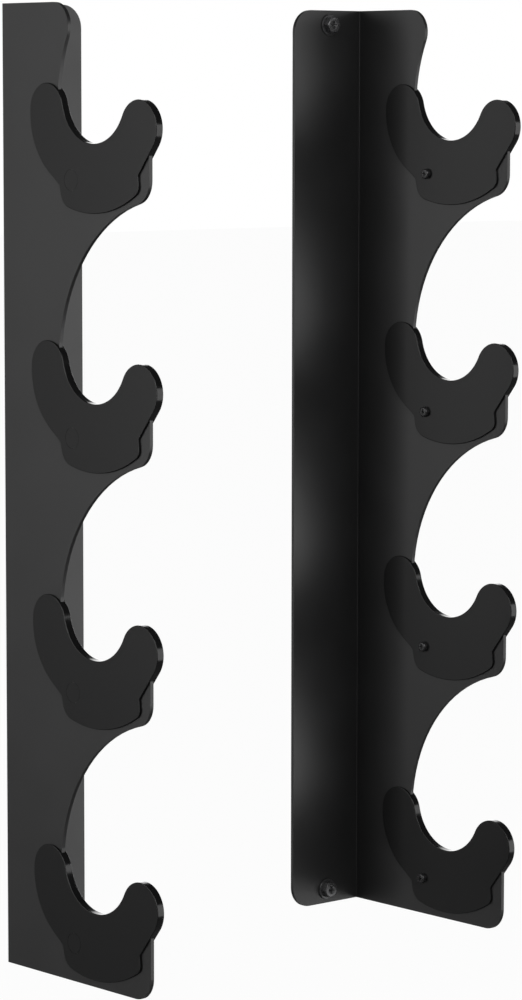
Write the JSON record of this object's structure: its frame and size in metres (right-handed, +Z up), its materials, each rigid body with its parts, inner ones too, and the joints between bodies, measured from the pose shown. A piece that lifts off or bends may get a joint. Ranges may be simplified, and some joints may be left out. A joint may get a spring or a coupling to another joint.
{
  "type": "wall cue rack",
  "caption": "Pair of mirror-image wall brackets with padded U-shaped cradles that hold pool cues or other long slim things level against a wall.",
  "frame": {"origin": "centre of the four wall screws on the wall plane, midway between the two brackets", "axes": "+Z up along the brackets, +Y into the wall, the arms stand out along -Y, X from bracket to bracket"},
  "size_m": [0.2506, 0.1529, 0.5],
  "materials": {
    "powder_coated_steel": "satin black powder coat with a very fine texture",
    "pad_plastic": "matt black moulded plastic with smoother, glossier edges",
    "black_screw_steel": "black oxide steel, light sheen",
    "insert_steel": "black coated steel, flush with the pad",
    "wall_screw_steel": "black zinc plated steel",
    "wall_washer_steel": "black zinc plated steel"
  },
  "bodies": {
    "root": {"left_bracket": "powder_coated_steel", "left_outer_pad_1": "pad_plastic", "left_outer_pad_2": "pad_plastic", "left_outer_pad_3": "pad_plastic", "left_outer_pad_4": "pad_plastic", "left_inner_pad_1": "pad_plastic", "left_inner_pad_2": "pad_plastic", "left_inner_pad_3": "pad_plastic", "left_inner_pad_4": "pad_plastic", "left_pad_screws": "black_screw_steel", "left_pad_inserts": "insert_steel", "left_wall_screws": "wall_screw_steel", "left_wall_washers": "wall_washer_steel", "right_bracket": "powder_coated_steel", "right_outer_pad_1": "pad_plastic", "right_outer_pad_2": "pad_plastic", "right_outer_pad_3": "pad_plastic", "right_outer_pad_4": "pad_plastic", "right_inner_pad_1": "pad_plastic", "right_inner_pad_2": "pad_plastic", "right_inner_pad_3": "pad_plastic", "right_inner_pad_4": "pad_plastic", "right_pad_screws": "black_screw_steel", "right_pad_inserts": "insert_steel", "right_wall_screws": "wall_screw_steel", "right_wall_washers": "wall_washer_steel"}
  },
  "joints": []
}
